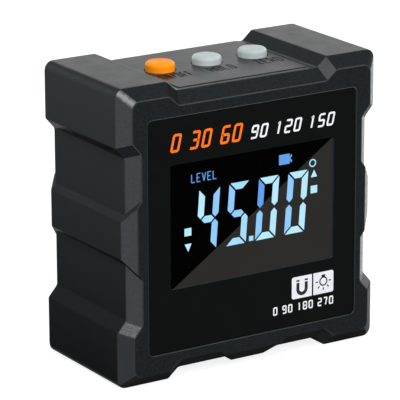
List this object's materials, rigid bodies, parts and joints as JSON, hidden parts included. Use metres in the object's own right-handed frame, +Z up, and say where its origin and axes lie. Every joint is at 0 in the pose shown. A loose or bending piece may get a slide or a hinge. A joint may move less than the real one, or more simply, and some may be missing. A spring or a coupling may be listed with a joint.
{
  "type": "digital angle gauge",
  "caption": "Square magnetic box level: notched chamfered black housing, backlit angle readout behind a window, round press keys on the top deck and a hinged battery door at the rear.",
  "frame": {"origin": "under the middle of the body, on the plane of the bottom faces", "axes": "+X to the right seen from the display, +Y from the display to the rear cover, +Z up"},
  "size_m": [0.06, 0.031, 0.06],
  "materials": {
    "housing_black": "satin moulded black plastic with a fine grain",
    "panel_black": "matte printed overlay",
    "lens_clear": "clear acrylic",
    "lcd_glass": "black display glass",
    "white_plastic": "white moulded plastic",
    "zebra_rubber": "layered silicone",
    "board_green": "solder mask",
    "chip_black": "moulded black plastic",
    "cell_jacket": "printed film over a metal can",
    "contact_steel": "nickel plated",
    "screw_steel": "zinc plated",
    "key_orange": "satin orange plastic",
    "key_grey": "satin grey plastic",
    "magnet_nickel": "nickel plated magnet"
  },
  "bodies": {
    "gauge": {"front_housing": "housing_black", "rear_cover": "housing_black", "front_panel": "panel_black", "display_lens": "lens_clear", "lcd_cell": "lcd_glass", "backlight": "white_plastic", "lcd_frame": "white_plastic", "zebra_strip": "zebra_rubber", "main_board": "board_green", "controller_chip": "chip_black", "tilt_sensor": "chip_black", "key_board": "board_green", "key_header": "chip_black", "upper_cell": "cell_jacket", "lower_cell": "cell_jacket", "bridge_contact": "contact_steel", "positive_contact": "contact_steel", "negative_contact": "contact_steel", "case_screws": "screw_steel", "board_screws": "screw_steel", "power_switch": "chip_black", "hold_switch": "chip_black", "zero_switch": "chip_black", "bottom_magnet_a": "magnet_nickel", "bottom_magnet_b": "magnet_nickel", "right_magnet_a": "magnet_nickel", "right_magnet_b": "magnet_nickel", "top_magnet_a": "magnet_nickel", "top_magnet_b": "magnet_nickel", "left_magnet_a": "magnet_nickel", "left_magnet_b": "magnet_nickel"},
    "power_key": {"power_button": "key_orange", "power_plunger": "chip_black"},
    "hold_key": {"hold_button": "key_grey", "hold_plunger": "chip_black"},
    "zero_key": {"zero_button": "key_grey", "zero_plunger": "chip_black"},
    "door": {"battery_door": "housing_black"}
  },
  "joints": [
    {"name": "power_press", "type": "slide", "parent": "gauge", "child": "power_key", "axis": [0, 0, -1], "range_m": [0, 0.0005], "stiffness_N_per_m": 800, "springref_m": -0.001},
    {"name": "hold_press", "type": "slide", "parent": "gauge", "child": "hold_key", "axis": [0, 0, -1], "range_m": [0, 0.0005], "stiffness_N_per_m": 800, "springref_m": -0.001},
    {"name": "zero_press", "type": "slide", "parent": "gauge", "child": "zero_key", "axis": [0, 0, -1], "range_m": [0, 0.0005], "stiffness_N_per_m": 800, "springref_m": -0.001},
    {"name": "door_hinge", "type": "hinge", "parent": "gauge", "child": "door", "pos_m": [0, 0.0155, 0.04198], "axis": [1, 0, 0], "range_deg": [0, 55]}
  ]
}
